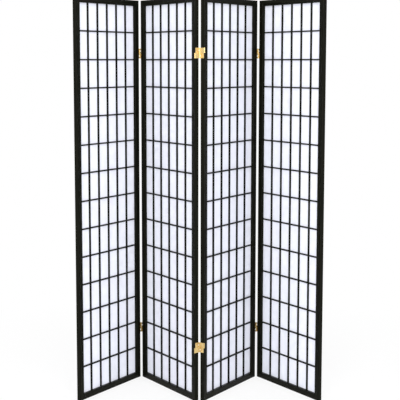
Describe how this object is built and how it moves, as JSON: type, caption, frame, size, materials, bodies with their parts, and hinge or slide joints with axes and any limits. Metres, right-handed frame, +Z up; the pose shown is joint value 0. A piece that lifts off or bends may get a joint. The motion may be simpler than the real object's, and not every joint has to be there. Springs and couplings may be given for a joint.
{
  "type": "folding screen",
  "caption": "Free-standing folding room screen of hinged timber panels, each a rebated frame with a half-lapped lattice of slender bars over paper.",
  "frame": {"origin": "on the floor at the middle of the standing screen's footprint", "axes": "+X across the screen to the right seen from the front, +Y from the front to the back, +Z up"},
  "size_m": [1.0892, 0.3756, 1.785],
  "materials": {
    "lacquered_wood": "black lacquer, satin",
    "shoji_paper": "matt, faintly fibrous, translucent",
    "brass": "bright plated, lightly polished"
  },
  "bodies": {
    "panel_1": {"panel_1_left_stile": "lacquered_wood", "panel_1_right_stile": "lacquered_wood", "panel_1_bottom_rail": "lacquered_wood", "panel_1_top_rail": "lacquered_wood", "panel_1_lattice": "lacquered_wood", "panel_1_paper": "shoji_paper", "hinge_12_1_left_leaf": "brass", "hinge_12_1_upper_link": "brass", "hinge_12_2_left_leaf": "brass", "hinge_12_2_upper_link": "brass"},
    "panel_2": {"panel_2_left_stile": "lacquered_wood", "panel_2_right_stile": "lacquered_wood", "panel_2_bottom_rail": "lacquered_wood", "panel_2_top_rail": "lacquered_wood", "panel_2_lattice": "lacquered_wood", "panel_2_paper": "shoji_paper", "hinge_12_1_right_leaf": "brass", "hinge_12_1_lower_link": "brass", "hinge_12_2_right_leaf": "brass", "hinge_12_2_lower_link": "brass", "hinge_23_1_left_leaf": "brass", "hinge_23_1_lower_link": "brass", "hinge_23_2_left_leaf": "brass", "hinge_23_2_lower_link": "brass"},
    "panel_3": {"panel_3_left_stile": "lacquered_wood", "panel_3_right_stile": "lacquered_wood", "panel_3_bottom_rail": "lacquered_wood", "panel_3_top_rail": "lacquered_wood", "panel_3_lattice": "lacquered_wood", "panel_3_paper": "shoji_paper", "hinge_23_1_right_leaf": "brass", "hinge_23_1_upper_link": "brass", "hinge_23_2_right_leaf": "brass", "hinge_23_2_upper_link": "brass", "hinge_34_1_left_leaf": "brass", "hinge_34_1_upper_link": "brass", "hinge_34_2_left_leaf": "brass", "hinge_34_2_upper_link": "brass"},
    "panel_4": {"panel_4_left_stile": "lacquered_wood", "panel_4_right_stile": "lacquered_wood", "panel_4_bottom_rail": "lacquered_wood", "panel_4_top_rail": "lacquered_wood", "panel_4_lattice": "lacquered_wood", "panel_4_paper": "shoji_paper", "hinge_34_1_right_leaf": "brass", "hinge_34_1_lower_link": "brass", "hinge_34_2_right_leaf": "brass", "hinge_34_2_lower_link": "brass"}
  },
  "joints": [
    {"name": "fold_1_2", "type": "hinge", "parent": "panel_2", "child": "panel_1", "pos_m": [-0.27472, 0.17053, 0], "axis": [0, 0, -1], "range_deg": [-71, 109]},
    {"name": "fold_2_3", "type": "hinge", "parent": "panel_2", "child": "panel_3", "pos_m": [0, -0.17053, 0], "axis": [0, 0, -1], "range_deg": [-70, 109]},
    {"name": "fold_3_4", "type": "hinge", "parent": "panel_3", "child": "panel_4", "pos_m": [0.27472, 0.17053, 0], "axis": [0, 0, 1], "range_deg": [-71, 109]}
  ]
}
